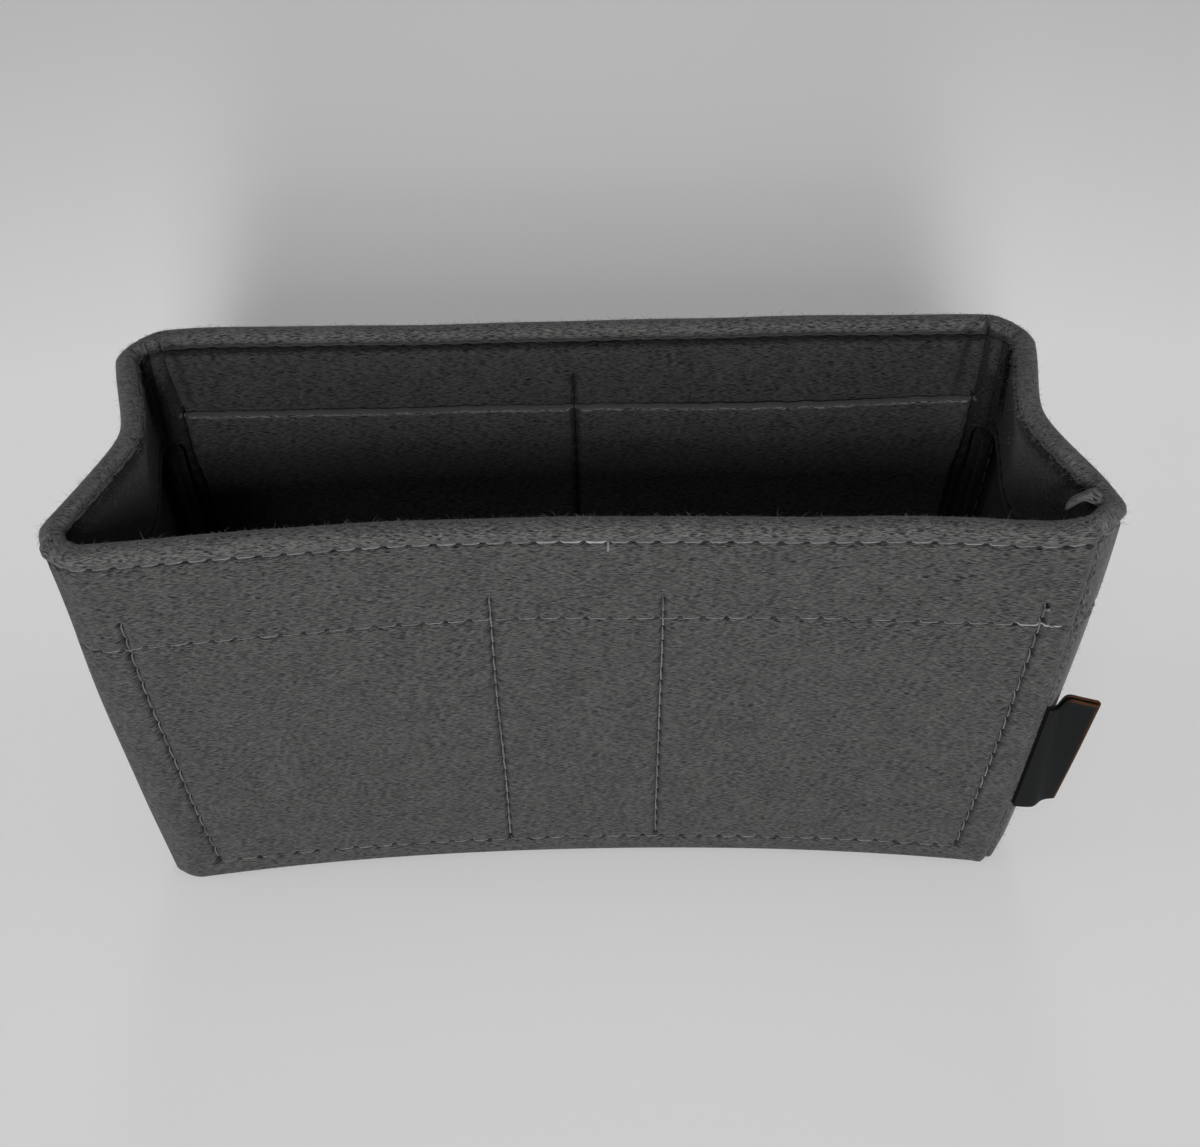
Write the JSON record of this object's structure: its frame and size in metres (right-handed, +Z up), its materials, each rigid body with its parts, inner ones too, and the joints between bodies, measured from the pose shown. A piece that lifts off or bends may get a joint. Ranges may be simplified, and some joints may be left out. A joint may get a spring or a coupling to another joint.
{
  "type": "handbag organizer insert",
  "caption": "Open-topped box of sewn grey felt with inner slip pockets at front and back, creased side gussets and a small folded side tag.",
  "frame": {"origin": "middle of the underside of the bottom panel, on the surface the organizer stands on", "axes": "+X along the long side, to the right as seen from the front; +Y from the front wall to the back wall; +Z up, out of the mouth"},
  "size_m": [0.2406, 0.0793, 0.1284],
  "materials": {
    "felt": "matt grey needle felt with fine lying fibres",
    "pocket_felt": "matt grey needle felt with fine lying fibres",
    "thread": "twisted grey polyester sewing thread",
    "tag_ribbon": "smooth black woven ribbon with brown edges, bare of lettering"
  },
  "bodies": {
    "base": {"bottom_panel": "felt", "left_gusset": "felt", "right_gusset": "felt", "left_rim_needle_thread": "thread", "left_rim_bobbin_thread": "thread", "left_hem_needle_thread": "thread", "left_hem_bobbin_thread": "thread", "right_rim_needle_thread": "thread", "right_rim_bobbin_thread": "thread", "right_hem_needle_thread": "thread", "right_hem_bobbin_thread": "thread", "front_left_corner_bobbin_thread": "thread", "front_right_corner_bobbin_thread": "thread", "back_left_corner_bobbin_thread": "thread", "back_right_corner_bobbin_thread": "thread", "front_bottom_seam_thread": "thread", "back_bottom_seam_thread": "thread", "left_bottom_seam_thread": "thread", "right_bottom_seam_thread": "thread"},
    "front_wall": {"front_panel": "felt", "front_pocket": "pocket_felt", "front_rim_needle_thread": "thread", "front_rim_bobbin_thread": "thread", "front_hem_needle_thread": "thread", "front_hem_bobbin_thread": "thread", "front_pocket_left_side_needle_thread": "thread", "front_pocket_left_side_bobbin_thread": "thread", "front_pocket_right_side_needle_thread": "thread", "front_pocket_right_side_bobbin_thread": "thread", "front_pocket_left_divider_needle_thread": "thread", "front_pocket_left_divider_bobbin_thread": "thread", "front_pocket_right_divider_needle_thread": "thread", "front_pocket_right_divider_bobbin_thread": "thread", "front_pocket_foot_needle_thread": "thread", "front_pocket_foot_bobbin_thread": "thread", "front_left_corner_needle_thread": "thread", "front_right_corner_needle_thread": "thread"},
    "back_wall": {"back_panel": "felt", "back_pocket": "pocket_felt", "back_rim_needle_thread": "thread", "back_rim_bobbin_thread": "thread", "back_hem_needle_thread": "thread", "back_hem_bobbin_thread": "thread", "back_pocket_left_side_needle_thread": "thread", "back_pocket_left_side_bobbin_thread": "thread", "back_pocket_right_side_needle_thread": "thread", "back_pocket_right_side_bobbin_thread": "thread", "back_pocket_divider_needle_thread": "thread", "back_pocket_divider_bobbin_thread": "thread", "back_pocket_foot_needle_thread": "thread", "back_pocket_foot_bobbin_thread": "thread", "back_left_corner_needle_thread": "thread", "back_right_corner_needle_thread": "thread"},
    "tag": {"side_tag": "tag_ribbon"}
  },
  "joints": [
    {"name": "front_wall_lean", "type": "hinge", "parent": "base", "child": "front_wall", "pos_m": [0, -0.0336, 0.0012], "axis": [-1, 0, 0], "range_deg": [-1, 10], "stiffness_Nm_per_rad": 0.8, "deforming": ["left_gusset", "right_gusset", "left_rim_needle_thread", "left_rim_bobbin_thread", "left_hem_needle_thread", "left_hem_bobbin_thread", "right_rim_needle_thread", "right_rim_bobbin_thread", "right_hem_needle_thread", "right_hem_bobbin_thread", "front_left_corner_bobbin_thread", "front_right_corner_bobbin_thread"]},
    {"name": "back_wall_lean", "type": "hinge", "parent": "base", "child": "back_wall", "pos_m": [0, 0.03655, 0.0012], "axis": [1, 0, 0], "range_deg": [-1, 10], "stiffness_Nm_per_rad": 0.8, "deforming": ["back_left_corner_bobbin_thread", "back_right_corner_bobbin_thread"]},
    {"name": "side_tag_swing", "type": "hinge", "parent": "front_wall", "child": "tag", "pos_m": [0.11128, -0.03715, 0.049], "axis": [0, 0, 1], "range_deg": [-25, 25], "stiffness_Nm_per_rad": 0.0002}
  ]
}
